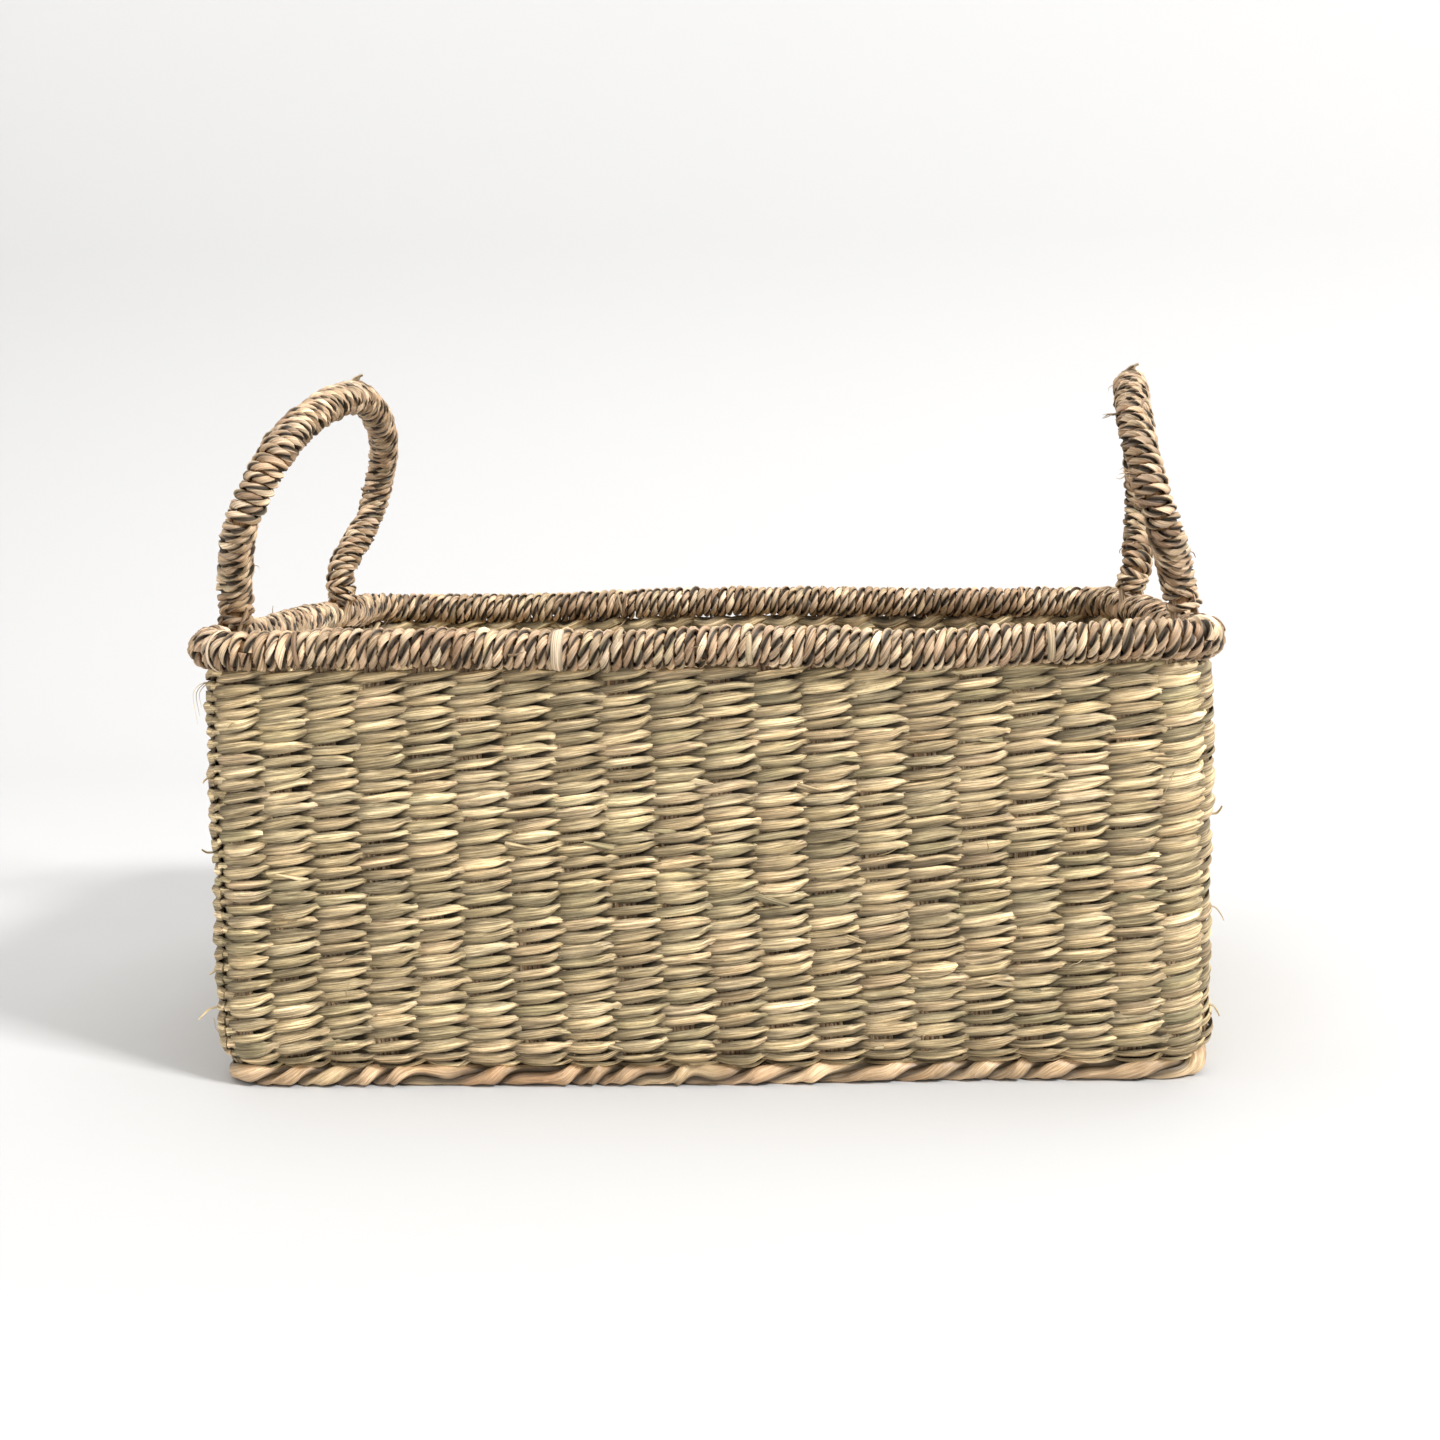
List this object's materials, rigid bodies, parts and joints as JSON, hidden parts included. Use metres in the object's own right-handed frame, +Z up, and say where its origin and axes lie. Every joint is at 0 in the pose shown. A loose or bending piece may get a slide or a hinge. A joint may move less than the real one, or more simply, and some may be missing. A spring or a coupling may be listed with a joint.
{
  "type": "woven storage basket",
  "caption": "Rectangular twined seagrass storage basket with rounded corners, a cord-bound rim and a hinged cord-bound bail handle at each short end.",
  "frame": {"origin": "on the floor, under the middle of the rim's outline", "axes": "+X along the long side, towards the right handle; +Y from the front long side to the back one; +Z up"},
  "size_m": [0.4, 0.275, 0.2801],
  "materials": {
    "weft": "matte",
    "base_weft": "matte",
    "stakes": "matte",
    "rim_cord": "matte",
    "handle_cord": "matte",
    "foot_strap": "matte",
    "foot_cord": "satin",
    "core_cane": "satin"
  },
  "bodies": {
    "basket": {"rim_hoop": "core_cane", "rim_binding_front": "rim_cord", "rim_binding_back": "rim_cord", "rim_binding_left": "rim_cord", "rim_binding_right": "rim_cord", "weft_front": "weft", "weft_back": "weft", "weft_left": "weft", "weft_right": "weft", "weft_corner_front_left": "weft", "weft_corner_front_right": "weft", "weft_corner_back_left": "weft", "weft_corner_back_right": "weft", "base_weave": "base_weft", "stakes_cross": "stakes", "stakes_length": "stakes", "stakes_corner": "stakes", "foot_braid": "foot_cord"},
    "handle_left": {"handle_left_cane": "core_cane", "handle_left_binding": "handle_cord", "handle_left_foot_front": "foot_strap", "handle_left_foot_back": "foot_strap"},
    "handle_right": {"handle_right_cane": "core_cane", "handle_right_binding": "handle_cord", "handle_right_foot_front": "foot_strap", "handle_right_foot_back": "foot_strap"}
  },
  "joints": [
    {"name": "handle_left_swing", "type": "hinge", "parent": "basket", "child": "handle_left", "pos_m": [-0.192, -0.015, 0.168], "axis": [0, 1, 0], "range_deg": [-146, 89]},
    {"name": "handle_right_swing", "type": "hinge", "parent": "basket", "child": "handle_right", "pos_m": [0.192, -0.011, 0.168], "axis": [0, -1, 0], "range_deg": [-135, 100]}
  ]
}
